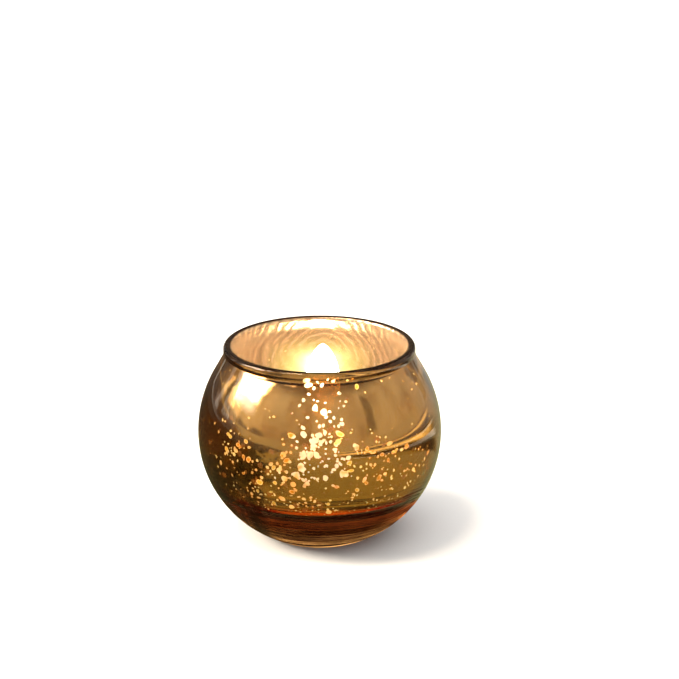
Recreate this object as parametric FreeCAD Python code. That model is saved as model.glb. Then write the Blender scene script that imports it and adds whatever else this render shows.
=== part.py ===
import FreeCAD
import Part
import math
import os

# Round tealight holder: a heavy-based glass globe with a rolled lip, the metallised film on its
# inside, and the tealight that stands in it. Millimetres, +Z up, origin at the centre of the foot.
# Every piece is turned about Z, so its half section is drawn as (radius, height) points.

V = FreeCAD.Vector

# ---- glass globe -------------------------------------------------------------------------
HEIGHT = 64.5
WIDEST_R = 40.0
BELLY_Z = 34.4            # height of the widest circle
SHOULDER_ARC = 40.5       # outer profile above the belly
SHOULDER_ARC_TOP_Z = 54.5 # above this the shoulder runs straight up to the lip
UNDER_ARC = 37.7          # outer profile below the belly
HEEL_ROUND = 2.2          # rounding between the lower wall and the foot
FOOT_INNER_R = 13.5       # the foot is a flat ring outside this radius
PUNT_R = 12.0             # flat of the shallow hollow under the foot
PUNT_DEPTH = 0.8

CREASE_Z = 61.3           # the lip stands on the shoulder here
LIP_OUTER_R = 31.3
LIP_INNER_R = 28.5
LIP_SWELL_Z = 61.8        # the lip is full width from here up

CAVITY_BELLY_R = 37.2
CAVITY_SHOULDER_ARC = 43.4
CAVITY_UNDER_ARC = 32.0
NECK_ROUND = 3.0          # inside rounding between shoulder and lip
FLOOR_Z = 17.5            # top of the solid glass base
FLOOR_ROUND = 3.0         # rounding between cavity wall and floor

# ---- metallised film, bonded to the inside of the glass ------------------------------------
FILM = 0.15
FILM_TOP_Z = 62.9

# ---- tealight cup, drawn aluminium -----------------------------------------------------------
CUP_SHEET = 0.25
CUP_BASE_R = 18.0
CUP_TOP_R = 18.5
CUP_HEIGHT = 16.0
CUP_HEEL_ROUND = 1.0
CURL_ROUND = 0.5          # rolled rim, outside radius of its section
CURL_END_DEG = -130.0     # the roll stops here, measured from the outward direction
PANEL_R = 13.5            # middle of the cup's base, pressed up
PANEL_RISE = 0.6
PANEL_SLOPE = 0.8

# ---- wax, wick and the tab that holds the wick -------------------------------------------------
WAX_GAP = 0.1             # wax shrinks away from the cup as it sets
WAX_DEPTH = 12.4          # at the wall of the cup
WAX_BANK_R = 16.6         # unmelted bank round the pool
POOL_R = 14.6
POOL_DEPTH = 0.9

TAB_R = 6.5
TAB_SHEET = 0.25
TAB_NECK_R = 1.25
TAB_NECK_HEIGHT = 3.2
WICK_R = 0.85
WICK_STRAIGHT = 4.0       # above the pool
WICK_BEND = 5.0           # radius of the curl at the burnt tip
WICK_BEND_DEG = 42.0


def at(point):
    return V(point[0], 0, point[1])


def line(a, b):
    return Part.LineSegment(at(a), at(b)).toShape()


def on_circle(centre, radius, degrees):
    angle = math.radians(degrees)
    return (centre[0] + radius * math.cos(angle), centre[1] + radius * math.sin(angle))


def arc(centre, radius, start, end):
    """Arc about a centre, from one angle to another in degrees; zero points away from the axis."""
    points = [on_circle(centre, radius, t) for t in (start, (start + end) / 2, end)]
    return Part.Arc(at(points[0]), at(points[1]), at(points[2])).toShape()


def bearing(centre, point):
    return math.degrees(math.atan2(point[1] - centre[1], point[0] - centre[0]))


def turned(edges):
    """Solid made by turning a closed half section about Z."""
    face = Part.Face(Part.Wire(Part.sortEdges(edges)[0]))
    solid = Part.Solid(face.revolve(V(0, 0, 0), V(0, 0, 1), 360).Shells[0])
    if solid.Volume < 0:
        solid.reverse()
    return solid


def outside_edges():
    """Outside of the glass, from the axis under the foot up to the top of the lip."""
    under_centre = (WIDEST_R - UNDER_ARC, BELLY_Z)
    shoulder_centre = (WIDEST_R - SHOULDER_ARC, BELLY_Z)
    heel_run = math.sqrt((UNDER_ARC - HEEL_ROUND) ** 2 - (BELLY_Z - HEEL_ROUND) ** 2)
    heel_centre = (under_centre[0] + heel_run, HEEL_ROUND)
    heel_deg = bearing(under_centre, heel_centre)
    shoulder_deg = math.degrees(math.asin((SHOULDER_ARC_TOP_Z - BELLY_Z) / SHOULDER_ARC))
    shoulder_top = on_circle(shoulder_centre, SHOULDER_ARC, shoulder_deg)
    taper = math.tan(math.radians(shoulder_deg)) * (CREASE_Z - SHOULDER_ARC_TOP_Z)
    crease = (shoulder_top[0] - taper, CREASE_Z)
    swell_run = LIP_OUTER_R - crease[0]
    swell_rise = LIP_SWELL_Z - crease[1]
    swell_round = (swell_run ** 2 + swell_rise ** 2) / (2 * swell_run)
    swell_centre = (LIP_OUTER_R - swell_round, LIP_SWELL_Z)
    lip_round = (LIP_OUTER_R - LIP_INNER_R) / 2
    lip_centre = (LIP_OUTER_R - lip_round, HEIGHT - lip_round)
    return [
        line((0, PUNT_DEPTH), (PUNT_R, PUNT_DEPTH)),
        line((PUNT_R, PUNT_DEPTH), (FOOT_INNER_R, 0)),
        line((FOOT_INNER_R, 0), (heel_centre[0], 0)),
        arc(heel_centre, HEEL_ROUND, -90, heel_deg),
        arc(under_centre, UNDER_ARC, heel_deg, 0),
        arc(shoulder_centre, SHOULDER_ARC, 0, shoulder_deg),
        line(shoulder_top, crease),
        arc(swell_centre, swell_round, bearing(swell_centre, crease), 0),
        line((LIP_OUTER_R, LIP_SWELL_Z), (LIP_OUTER_R, lip_centre[1])),
        arc(lip_centre, lip_round, 0, 180),
    ]


def inside_edges(inset, top_z):
    """Wall of the cavity from the lip down to the axis, moved into the cavity by inset.

    Returns the edges and the point where they start."""
    shoulder_arc = CAVITY_SHOULDER_ARC - inset
    under_arc = CAVITY_UNDER_ARC - inset
    neck_round = NECK_ROUND + inset
    floor_round = FLOOR_ROUND - inset
    shoulder_centre = (CAVITY_BELLY_R - CAVITY_SHOULDER_ARC, BELLY_Z)
    under_centre = (CAVITY_BELLY_R - CAVITY_UNDER_ARC, BELLY_Z)

    neck_run = LIP_INNER_R + NECK_ROUND - shoulder_centre[0]
    neck_rise = math.sqrt((CAVITY_SHOULDER_ARC + NECK_ROUND) ** 2 - neck_run ** 2)
    neck_centre = (LIP_INNER_R + NECK_ROUND, BELLY_Z + neck_rise)
    neck_deg = bearing(shoulder_centre, neck_centre)

    corner_drop = BELLY_Z - FLOOR_Z - FLOOR_ROUND
    corner_run = math.sqrt((CAVITY_UNDER_ARC - FLOOR_ROUND) ** 2 - corner_drop ** 2)
    corner_centre = (under_centre[0] + corner_run, FLOOR_Z + FLOOR_ROUND)
    corner_deg = bearing(under_centre, corner_centre)

    start = (LIP_INNER_R - inset, top_z)
    floor_z = FLOOR_Z + inset
    edges = [
        line(start, (start[0], neck_centre[1])),
        arc(neck_centre, neck_round, 180, 180 + neck_deg),
        arc(shoulder_centre, shoulder_arc, neck_deg, 0),
        arc(under_centre, under_arc, 0, corner_deg),
        arc(corner_centre, floor_round, corner_deg, -90),
        line((corner_centre[0], floor_z), (0, floor_z)),
    ]
    return edges, start


def make_glass():
    lip_round = (LIP_OUTER_R - LIP_INNER_R) / 2
    inside, _ = inside_edges(0.0, HEIGHT - lip_round)
    axis = [line((0, FLOOR_Z), (0, PUNT_DEPTH))]
    return turned(outside_edges() + inside + axis)


def make_film():
    glass_side, glass_top = inside_edges(0.0, FILM_TOP_Z)
    air_side, air_top = inside_edges(FILM, FILM_TOP_Z)
    ends = [line(air_top, glass_top), line((0, FLOOR_Z), (0, FLOOR_Z + FILM))]
    return turned(glass_side + air_side + ends)


# ---- tealight: heights from the underside of the cup, then lifted onto the film --------------
STAND_Z = FLOOR_Z + FILM


def cup_wall_r(z):
    """Inner radius of the cup's wall at height z."""
    outer = CUP_BASE_R + (CUP_TOP_R - CUP_BASE_R) * z / CUP_HEIGHT
    return outer - CUP_SHEET


def make_cup():
    curl_centre = (cup_wall_r(CUP_HEIGHT) + CURL_ROUND, CUP_HEIGHT - CURL_ROUND)
    curl_inside = CURL_ROUND - CUP_SHEET
    curl_out = on_circle(curl_centre, CURL_ROUND, CURL_END_DEG)
    curl_in = on_circle(curl_centre, curl_inside, CURL_END_DEG)
    inner_top = on_circle(curl_centre, CURL_ROUND, 180)
    outer_top = on_circle(curl_centre, curl_inside, 180)

    heel = (CUP_BASE_R - CUP_HEEL_ROUND, CUP_HEEL_ROUND)
    heel_inside = CUP_HEEL_ROUND - CUP_SHEET
    slope_out = (PANEL_R - PANEL_SLOPE, PANEL_RISE)
    slope_in = (slope_out[0] - CUP_SHEET / 2, PANEL_RISE + CUP_SHEET)
    edges = [
        line((0, PANEL_RISE), slope_out),
        line(slope_out, (PANEL_R, 0)),
        line((PANEL_R, 0), (heel[0], 0)),
        arc(heel, CUP_HEEL_ROUND, -90, 0),
        line((CUP_BASE_R, heel[1]), outer_top),
        arc(curl_centre, curl_inside, 180, CURL_END_DEG),
        line(curl_in, curl_out),
        arc(curl_centre, CURL_ROUND, CURL_END_DEG, 180),
        line(inner_top, (CUP_BASE_R - CUP_SHEET, heel[1])),
        arc(heel, heel_inside, 0, -90),
        line((heel[0], CUP_SHEET), (PANEL_R - CUP_SHEET / 2, CUP_SHEET)),
        line((PANEL_R - CUP_SHEET / 2, CUP_SHEET), slope_in),
        line(slope_in, (0, PANEL_RISE + CUP_SHEET)),
        line((0, PANEL_RISE + CUP_SHEET), (0, PANEL_RISE)),
    ]
    return turned(edges)


PANEL_Z = PANEL_RISE + CUP_SHEET     # what the wax and the tab stand on
POOL_Z = WAX_DEPTH - POOL_DEPTH


def make_wax_blank():
    """Wax before the wick and its tab are taken out of it."""
    foot_z = CUP_SHEET
    foot_r = CUP_BASE_R - CUP_HEEL_ROUND - WAX_GAP
    side_z = CUP_HEEL_ROUND + WAX_GAP
    side_r = cup_wall_r(side_z) - WAX_GAP
    top_r = cup_wall_r(WAX_DEPTH) - WAX_GAP
    panel_edge = PANEL_R + WAX_GAP
    edges = [
        line((0, PANEL_Z), (PANEL_R - PANEL_SLOPE, PANEL_Z)),
        line((PANEL_R - PANEL_SLOPE, PANEL_Z), (panel_edge, foot_z)),
        line((panel_edge, foot_z), (foot_r, foot_z)),
        line((foot_r, foot_z), (side_r, side_z)),
        line((side_r, side_z), (top_r, WAX_DEPTH)),
        line((top_r, WAX_DEPTH), (WAX_BANK_R, WAX_DEPTH)),
        line((WAX_BANK_R, WAX_DEPTH), (POOL_R, POOL_Z)),
        line((POOL_R, POOL_Z), (0, POOL_Z)),
        line((0, POOL_Z), (0, PANEL_Z)),
    ]
    return turned(edges)


def make_tab():
    disc = Part.makeCylinder(TAB_R, TAB_SHEET, V(0, 0, PANEL_Z))
    neck = Part.makeCylinder(TAB_NECK_R, TAB_NECK_HEIGHT, V(0, 0, PANEL_Z))
    bore = Part.makeCylinder(WICK_R, TAB_NECK_HEIGHT, V(0, 0, PANEL_Z))
    return disc.fuse(neck).cut(bore).removeSplitter().Solids[0]


def make_wick():
    """Round cord, straight through the wax and curling over where it has burnt."""
    foot = V(0, 0, PANEL_Z)
    bend_start = V(0, 0, POOL_Z + WICK_STRAIGHT)
    centre = V(WICK_BEND, 0, bend_start.z)
    half, full = math.radians(WICK_BEND_DEG / 2), math.radians(WICK_BEND_DEG)
    bend_mid = centre + V(-WICK_BEND * math.cos(half), 0, WICK_BEND * math.sin(half))
    tip = centre + V(-WICK_BEND * math.cos(full), 0, WICK_BEND * math.sin(full))
    stem = Part.LineSegment(foot, bend_start).toShape()
    curl = Part.Arc(bend_start, bend_mid, tip).toShape()
    section = Part.Wire([Part.makeCircle(WICK_R, foot, V(0, 0, 1))])
    return Part.Wire([stem, curl]).makePipeShell([section], True, True)


def as_solid(shape):
    solid = shape if shape.ShapeType == "Solid" else Part.Solid(shape.Shells[0])
    if solid.Volume < 0:
        solid.reverse()
    return solid


wick = as_solid(make_wick())
tab = make_tab()
wax = make_wax_blank().cut(wick).cut(tab).Solids[0]

tealight = {"tealight_cup": make_cup(), "wax": wax, "wick": wick, "wick_sustainer": tab}
nodes = {"glass_bowl": make_glass(), "mirror_coating": make_film()}
for name, shape in tealight.items():
    nodes[name] = shape.translated(V(0, 0, STAND_Z))

os.makedirs("parts", exist_ok=True)
for name, shape in nodes.items():
    shape.exportStep("parts/" + name + ".step")
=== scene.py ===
import math
import random

import bpy
from mathutils import Matrix, Vector, noise
from mathutils.geometry import delaunay_2d_cdt


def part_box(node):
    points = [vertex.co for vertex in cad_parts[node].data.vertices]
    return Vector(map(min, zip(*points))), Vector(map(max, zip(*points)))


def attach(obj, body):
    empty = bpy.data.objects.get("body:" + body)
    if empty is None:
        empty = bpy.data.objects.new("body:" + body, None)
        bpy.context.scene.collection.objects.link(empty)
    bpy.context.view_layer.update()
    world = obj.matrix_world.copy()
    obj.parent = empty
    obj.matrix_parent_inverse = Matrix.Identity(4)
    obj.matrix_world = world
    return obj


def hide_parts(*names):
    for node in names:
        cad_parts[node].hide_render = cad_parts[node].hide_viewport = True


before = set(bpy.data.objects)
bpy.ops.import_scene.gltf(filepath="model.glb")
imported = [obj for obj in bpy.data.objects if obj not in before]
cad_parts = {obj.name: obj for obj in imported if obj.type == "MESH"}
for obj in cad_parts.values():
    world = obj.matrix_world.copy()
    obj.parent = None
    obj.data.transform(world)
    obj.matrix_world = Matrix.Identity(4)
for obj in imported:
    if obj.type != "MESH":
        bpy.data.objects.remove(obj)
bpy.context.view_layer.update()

MM = 0.001
SEED = 41

# ---- the globe's section, in millimetres, as part.py has it ------------------------------
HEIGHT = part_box("glass_bowl")[1].z / MM
WIDEST_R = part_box("glass_bowl")[1].x / MM
BELLY_Z = 34.4
SHOULDER_ARC = 40.5
SHOULDER_ARC_TOP_Z = 54.5
UNDER_ARC = 37.7
HEEL_ROUND = 2.2
FOOT_INNER_R = 13.5
PUNT_R = 12.0
PUNT_DEPTH = 0.8
CREASE_Z = 61.3
LIP_OUTER_R = 31.3
LIP_INNER_R = 28.5
LIP_SWELL_Z = 61.8
CAVITY_BELLY_R = 37.2
CAVITY_SHOULDER_ARC = 43.4
CAVITY_UNDER_ARC = 32.0
NECK_ROUND = 3.0
FLOOR_Z = 17.5
FLOOR_ROUND = 3.0
FILM_TOP_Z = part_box("mirror_coating")[1].z / MM
CROWN_Z = HEIGHT - 0.05            # the glass stops short of the top by more than the film on it needs
LIP_WRAP = math.radians(62.0)      # where on the lip the film ends, as an angle up from straight out

# ---- tealight, also as part.py has it ------------------------------------------------------
STAND_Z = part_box("tealight_cup")[0].z / MM
CUP_TOP_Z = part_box("tealight_cup")[1].z / MM
CUP_SHEET = 0.25
FLUTES = 84
FLUTE_SWELL = 0.045
CUP_BASE_R = 18.0
CUP_TOP_R = 18.5
CUP_HEIGHT = CUP_TOP_Z - STAND_Z
CUP_HEEL_ROUND = 1.0
CURL_ROUND = 0.5
PANEL_R = 13.5
PANEL_RISE = 0.6
PANEL_SLOPE = 0.8
WAX_GAP = 0.1
WAX_TOP_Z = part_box("wax")[1].z / MM
WAX_BANK_R = 16.6
POOL_R = 14.6
POOL_Z = WAX_TOP_Z - 0.9
PANEL_Z = STAND_Z + PANEL_RISE + CUP_SHEET
WICK_R = 0.85
WICK_STRAIGHT = 4.0
WICK_BEND = 5.0
WICK_BEND_DEG = 42.0


# ---- sections and turned meshes --------------------------------------------------------------
def bearing(centre, point):
    return math.atan2(point[1] - centre[1], point[0] - centre[0])


def arc_points(centre, radius, start, end, step):
    """Points of an arc from one angle to another, in radians, about step apart."""
    count = max(2, math.ceil(abs(end - start) * radius / step))
    angles = [start + (end - start) * k / count for k in range(count + 1)]
    return [(centre[0] + radius * math.cos(a), centre[1] + radius * math.sin(a)) for a in angles]


def line_points(a, b, step):
    count = max(1, math.ceil(math.dist(a, b) / step))
    return [(a[0] + (b[0] - a[0]) * k / count, a[1] + (b[1] - a[1]) * k / count) for k in range(count + 1)]


def clamped(value):
    return min(max(value, 0.0), 1.0)


def joined(*runs):
    """One run of points, without the repeats where two runs meet."""
    points = []
    for run in runs:
        for point in run:
            if not points or math.dist(points[-1], point) > 1e-4:
                points.append(point)
    return points


def turned(name, section, segments, shift=None, sharp_deg=32):
    """Mesh made by turning a section of (radius, height) points in millimetres about Z.

    shift(radius, height, azimuth) returns the radius and height to use instead."""
    verts, rings = [], []
    for radius, height in section:
        if radius < 1e-6:
            rings.append([len(verts)])
            verts.append((0.0, 0.0, height * MM))
            continue
        ring = []
        for k in range(segments):
            azimuth = 2 * math.pi * k / segments
            r, z = shift(radius, height, azimuth) if shift else (radius, height)
            ring.append(len(verts))
            verts.append((r * math.cos(azimuth) * MM, r * math.sin(azimuth) * MM, z * MM))
        rings.append(ring)
    faces = []
    closed = len(rings[0]) > 1
    pairs = list(zip(rings, rings[1:] + rings[:1])) if closed else list(zip(rings, rings[1:]))
    for low, high in pairs:
        for k in range(segments):
            n = (k + 1) % segments
            if len(low) == 1:
                faces.append((low[0], high[n], high[k]))
            elif len(high) == 1:
                faces.append((low[k], low[n], high[0]))
            else:
                faces.append((low[k], low[n], high[n], high[k]))
    mesh = bpy.data.meshes.new(name)
    mesh.from_pydata(verts, [], faces)
    mesh.shade_smooth()
    mesh.set_sharp_from_angle(angle=math.radians(sharp_deg))
    return shown(name, mesh)


def shown(name, mesh):
    piece = bpy.data.objects.new(name, mesh)
    bpy.context.scene.collection.objects.link(piece)
    return piece


# Rings in the outside of the base, in millimetres.
RIPPLE_FOOT_Z = 2.5
RIPPLE_TOP_Z = 17.0
RIPPLE_PITCH = 1.25
RIPPLE_DEPTH = 0.045


def rippled(section):
    """The section with the faint rings that the mould leaves round the thick base."""
    found = []
    for r, z in section:
        share = clamped((z - RIPPLE_FOOT_Z) / 2.0) * clamped((RIPPLE_TOP_Z - z) / 3.0)
        turns = 2 * math.pi * z / RIPPLE_PITCH
        wave = math.sin(turns) + 0.6 * math.sin(turns / 2.7)
        found.append((r - RIPPLE_DEPTH * share * (1.0 + wave), z))
    return found


def outside_section():
    under = (WIDEST_R - UNDER_ARC, BELLY_Z)
    shoulder = (WIDEST_R - SHOULDER_ARC, BELLY_Z)
    heel_run = math.sqrt((UNDER_ARC - HEEL_ROUND) ** 2 - (BELLY_Z - HEEL_ROUND) ** 2)
    heel = (under[0] + heel_run, HEEL_ROUND)
    top_angle = math.asin((SHOULDER_ARC_TOP_Z - BELLY_Z) / SHOULDER_ARC)
    top = (shoulder[0] + SHOULDER_ARC * math.cos(top_angle), SHOULDER_ARC_TOP_Z)
    crease = (top[0] - math.tan(top_angle) * (CREASE_Z - SHOULDER_ARC_TOP_Z), CREASE_Z)
    run, rise = LIP_OUTER_R - crease[0], LIP_SWELL_Z - CREASE_Z
    swell_round = (run ** 2 + rise ** 2) / (2 * run)
    swell = (LIP_OUTER_R - swell_round, LIP_SWELL_Z)
    lip_round = (LIP_OUTER_R - LIP_INNER_R) / 2
    lip = (LIP_OUTER_R - lip_round, CROWN_Z - lip_round)
    return joined(
        line_points((0, PUNT_DEPTH), (PUNT_R, PUNT_DEPTH), 3.0),
        line_points((PUNT_R, PUNT_DEPTH), (FOOT_INNER_R, 0), 0.6),
        line_points((FOOT_INNER_R, 0), (heel[0], 0), 1.2),
        arc_points(heel, HEEL_ROUND, -math.pi / 2, bearing(under, heel), 0.3),
        arc_points(under, UNDER_ARC, bearing(under, heel), 0, 0.3),
        arc_points(shoulder, SHOULDER_ARC, 0, top_angle, 0.8),
        line_points(top, crease, 0.8),
        arc_points(swell, swell_round, bearing(swell, crease), 0, 0.12),
        arc_points(lip, lip_round, 0, math.pi, 0.16),
    )


class CavityWall:
    """The inside of the globe, by distance run down it from the top of the film to the axis."""

    def __init__(self):
        shoulder = (CAVITY_BELLY_R - CAVITY_SHOULDER_ARC, BELLY_Z)
        under = (CAVITY_BELLY_R - CAVITY_UNDER_ARC, BELLY_Z)
        neck_r = LIP_INNER_R + NECK_ROUND
        neck_rise = math.sqrt((CAVITY_SHOULDER_ARC + NECK_ROUND) ** 2 - (neck_r - shoulder[0]) ** 2)
        neck = (neck_r, BELLY_Z + neck_rise)
        neck_angle = bearing(shoulder, neck)
        drop = BELLY_Z - FLOOR_Z - FLOOR_ROUND
        corner_r = under[0] + math.sqrt((CAVITY_UNDER_ARC - FLOOR_ROUND) ** 2 - drop ** 2)
        corner = (corner_r, FLOOR_Z + FLOOR_ROUND)
        corner_angle = bearing(under, corner)
        self.floor_r = corner[0]
        lip_round = (LIP_OUTER_R - LIP_INNER_R) / 2
        lip = (LIP_OUTER_R - lip_round, CROWN_Z - lip_round)
        # Each part: length, kind, centre or start, radius, first angle, last angle. A hollow arc has its
        # centre in the glass.
        self.parts = [
            (lip_round * (math.pi - LIP_WRAP), "hollow", lip, lip_round, LIP_WRAP, math.pi),
            (lip[1] - neck[1], "line", (LIP_INNER_R, lip[1]), None, (0, -1), (1, 0)),
            (NECK_ROUND * neck_angle, "hollow", neck, NECK_ROUND, math.pi, math.pi + neck_angle),
            (CAVITY_SHOULDER_ARC * neck_angle, "arc", shoulder, CAVITY_SHOULDER_ARC, neck_angle, 0),
            (-CAVITY_UNDER_ARC * corner_angle, "arc", under, CAVITY_UNDER_ARC, 0, corner_angle),
            (FLOOR_ROUND * (math.pi / 2 + corner_angle), "arc", corner, FLOOR_ROUND,
             corner_angle, -math.pi / 2),
            (corner[0], "line", (corner[0], FLOOR_Z), None, (-1, 0), (0, -1)),
        ]
        self.length = sum(part[0] for part in self.parts)

    def at(self, run):
        """Radius, height, and the normal into the glass as (radius, height), at that distance."""
        for length, kind, origin, radius, first, last in self.parts:
            if run <= length:
                break
            run -= length
        run = min(run, length)
        if kind == "line":
            return (origin[0] + first[0] * run, origin[1] + first[1] * run, last[0], last[1])
        angle = first + (last - first) * run / length
        c, s = math.cos(angle), math.sin(angle)
        sign = -1 if kind == "hollow" else 1
        return (origin[0] + radius * c, origin[1] + radius * s, sign * c, sign * s)

    def rows(self, arc_step, flat_step):
        """Distances at which to put rows of vertices: closer together where the wall bends more."""
        found, start = [0.0], 0.0
        for length, kind, origin, radius, first, last in self.parts:
            step = flat_step if kind == "line" else min(arc_step, 0.19 * math.sqrt(radius))
            count = max(1, math.ceil(length / step))
            found += [start + length * k / count for k in range(1, count + 1)]
            start += length
        return found

    def run_at_height(self, height):
        """Distance at which the wall, above its floor, passes a height."""
        low, high = 0.0, self.length - self.floor_r
        for _ in range(40):
            middle = (low + high) / 2
            low, high = (middle, high) if self.at(middle)[1] > height else (low, middle)
        return low


WALL = CavityWall()


def inside_section():
    below = [WALL.at(run)[:2] for run in WALL.rows(0.8, 2.5) if run > WALL.parts[0][0] + 0.01]
    return [(r if r > 1e-3 else 0.0, z) for r, z in below]


# ---- node helpers ------------------------------------------------------------------------------
def material(name):
    made = bpy.data.materials.new(name)
    made.use_nodes = True
    made.node_tree.nodes.clear()
    return made, made.node_tree


def finished(made, surface, volume=None):
    """The material, given its surface shader and, where it has one, its volume shader."""
    tree = made.node_tree
    output = tree.nodes.new("ShaderNodeOutputMaterial")
    tree.links.new(surface.outputs[0], output.inputs["Surface"])
    if volume:
        tree.links.new(volume.outputs[0], output.inputs["Volume"])
    return made


def node(tree, kind, inputs=None, **settings):
    made = tree.nodes.new("ShaderNode" + kind)
    for key, value in settings.items():
        setattr(made, key, value)
    for key, value in (inputs or {}).items():
        socket = made.inputs[key]
        if isinstance(value, bpy.types.NodeSocket):
            tree.links.new(value, socket)
        else:
            socket.default_value = value
    return made


def ramp(tree, factor, stops):
    """Colour ramp with stops of (position, colour)."""
    made = node(tree, "ValToRGB", {"Fac": factor})
    elements = made.color_ramp.elements
    while len(elements) < len(stops):
        elements.new(0.5)
    for element, (position, colour) in zip(elements, stops):
        element.position = position
        element.color = (*colour, 1)
    return made.outputs["Color"]


def grey(value):
    return (value, value, value)


def maths(tree, operation, a, b=None, c=None, clamp=False):
    inputs = {k: value for k, value in enumerate((a, b, c)) if value is not None}
    return node(tree, "Math", inputs, operation=operation, use_clamp=clamp).outputs[0]


def times(tree, a, b):
    return maths(tree, "MULTIPLY", a, b)


def plus(tree, a, b):
    return maths(tree, "ADD", a, b)


def minus(tree, a, b, clamp=False):
    return maths(tree, "SUBTRACT", a, b, clamp=clamp)


def remapped(tree, value, low, high, to_low=0.0, to_high=1.0, smooth=False):
    """value carried from the range low to high onto to_low to to_high, and held at its ends."""
    inputs = {"Value": value, "From Min": low, "From Max": high, "To Min": to_low, "To Max": to_high}
    kind = "SMOOTHSTEP" if smooth else "LINEAR"
    return node(tree, "MapRange", inputs, interpolation_type=kind).outputs["Result"]


def split(tree, vector):
    return node(tree, "SeparateXYZ", {0: vector}).outputs


def length(tree, vector):
    return node(tree, "VectorMath", {0: vector}, operation="LENGTH").outputs["Value"]


def bumped(tree, height, strength, distance):
    inputs = {"Strength": strength, "Distance": distance, "Height": height}
    return node(tree, "Bump", inputs).outputs[0]


def place(tree):
    """Position on the object, in metres, in the frame of the CAD model."""
    return node(tree, "TexCoord").outputs["Object"]


def height_mm(tree):
    return times(tree, split(tree, place(tree))["Z"], 1 / MM)


def scaled(tree, vector, scale):
    return node(tree, "VectorMath", {0: vector, 1: scale}, operation="MULTIPLY").outputs[0]


def pattern(tree, vector, scale, detail=2.0, roughness=0.5, distortion=0.0):
    """Noise, 0.5 on average."""
    inputs = {"Vector": vector, "Scale": scale, "Detail": detail, "Roughness": roughness}
    inputs["Distortion"] = distortion
    return node(tree, "TexNoise", inputs).outputs["Fac"]


def mixed(tree, factor, a, b):
    made = node(tree, "Mix", data_type="RGBA")
    for socket, value in ((made.inputs[0], factor), (made.inputs[6], a), (made.inputs[7], b)):
        if isinstance(value, bpy.types.NodeSocket):
            tree.links.new(value, socket)
        else:
            socket.default_value = value if isinstance(value, float) else (*value, 1)
    return made.outputs[2]


def blended(tree, share, a, b):
    """Shader a where share is 0 and b where it is 1."""
    return node(tree, "MixShader", {0: share, 1: a.outputs[0], 2: b.outputs[0]})


def height_share(tree, low, high):
    """0 at height low and 1 at height high, in millimetres."""
    return remapped(tree, split(tree, place(tree))["Z"], low * MM, high * MM)


# ---- materials ---------------------------------------------------------------------------------
def glass_material():
    made, tree = material("amber_glass")
    ripple = pattern(tree, scaled(tree, place(tree), (30, 30, 900)), 1.0, 2.0)
    fade = minus(tree, 1.0, height_share(tree, 15.0, 20.0), clamp=True)
    bump = bumped(tree, times(tree, ripple, fade), 0.6, 0.12 * MM)
    glass = node(tree, "BsdfPrincipled", {
        "Base Color": (1, 1, 1, 1), "Roughness": 0.0, "IOR": 1.5, "Transmission Weight": 1.0,
        "Specular Tint": (0.55, 0.42, 0.30, 1), "Normal": bump})
    absorb = node(tree, "VolumeAbsorption", {"Color": (0.72, 0.45, 0.07, 1), "Density": 145.0})
    return finished(made, glass, absorb)


def window(tree, value, centre, half, soft):
    """1 where value is within half of centre, falling smoothly to 0 over soft beyond it."""
    off = maths(tree, "ABSOLUTE", minus(tree, value, centre))
    return remapped(tree, off, half, half + soft, 1.0, 0.0, smooth=True)


def azimuth_from(tree, vector, centre_deg):
    """Azimuth of a vector in degrees, measured from centre_deg, so that it doesn't wrap near there."""
    parts = split(tree, vector)
    c, s = math.cos(math.radians(centre_deg)), math.sin(math.radians(centre_deg))
    x, y = parts["X"], parts["Y"]
    ahead = plus(tree, times(tree, x, c), times(tree, y, s))
    aside = minus(tree, times(tree, y, c), times(tree, x, s))
    return maths(tree, "DEGREES", maths(tree, "ARCTAN2", aside, ahead))


# Lower edge of the film, along which a dark red band is painted as a reflection of the shaded floor under the
# globe: its height at the front and back, and how much higher it is at the two sides.
EDGE_Z = 18.3
EDGE_SIDE_RISE = 4.6

# Painted reflection: dark patches on the film, standing for dark surroundings it mirrors. Azimuth, height,
# half widths in degrees and millimetres, and depth.
DARK_REFLECTION_PATCHES = [
    (-140.0, 27.0, 13.0, 4.0, 0.6),
    (-118.0, 31.0, 10.0, 2.0, 0.35),
    (-20.0, 38.0, 4.0, 2.5, 0.35),
    (35.0, 27.0, 14.0, 4.0, 0.5),
    (95.0, 31.0, 14.0, 4.0, 0.5),
    (150.0, 24.0, 12.0, 4.0, 0.6),
]


def painted_dark_reflections(tree, spot):
    """How dark the film is painted, in ragged patches: a painted reflection of dark surroundings."""
    ragged = minus(tree, pattern(tree, spot, 130.0, 5.0, 0.62, 0.6), 0.5)
    height = plus(tree, height_mm(tree), times(tree, ragged, 22.0))
    total = 0.0
    for azimuth, middle, half_deg, half_mm, depth in DARK_REFLECTION_PATCHES:
        across = plus(tree, azimuth_from(tree, spot, azimuth), times(tree, ragged, 55.0))
        inside = times(tree, window(tree, across, 0.0, half_deg, 9.0),
                       window(tree, height, middle, half_mm, 4.0))
        total = maths(tree, "MAXIMUM", total, times(tree, inside, depth))
    return total


def painted_edge_reflection(tree, spot):
    """1 along the film's lower edge, where it is painted dark red: a painted reflection of the shaded floor
    under the globe. The edge is higher at the two sides.
    """
    parts = split(tree, spot)
    xx, yy = times(tree, parts["X"], parts["X"]), times(tree, parts["Y"], parts["Y"])
    side = maths(tree, "DIVIDE", xx, plus(tree, xx, yy))
    edge = maths(tree, "MULTIPLY_ADD", side, EDGE_SIDE_RISE * MM, EDGE_Z * MM)
    ragged = times(tree, minus(tree, pattern(tree, spot, 160.0, 3.0, 0.6), 0.5), 2.2 * MM)
    above = minus(tree, plus(tree, parts["Z"], ragged), edge)
    return remapped(tree, above, -0.3 * MM, 0.6 * MM, 1.0, 0.0, smooth=True)


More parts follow.
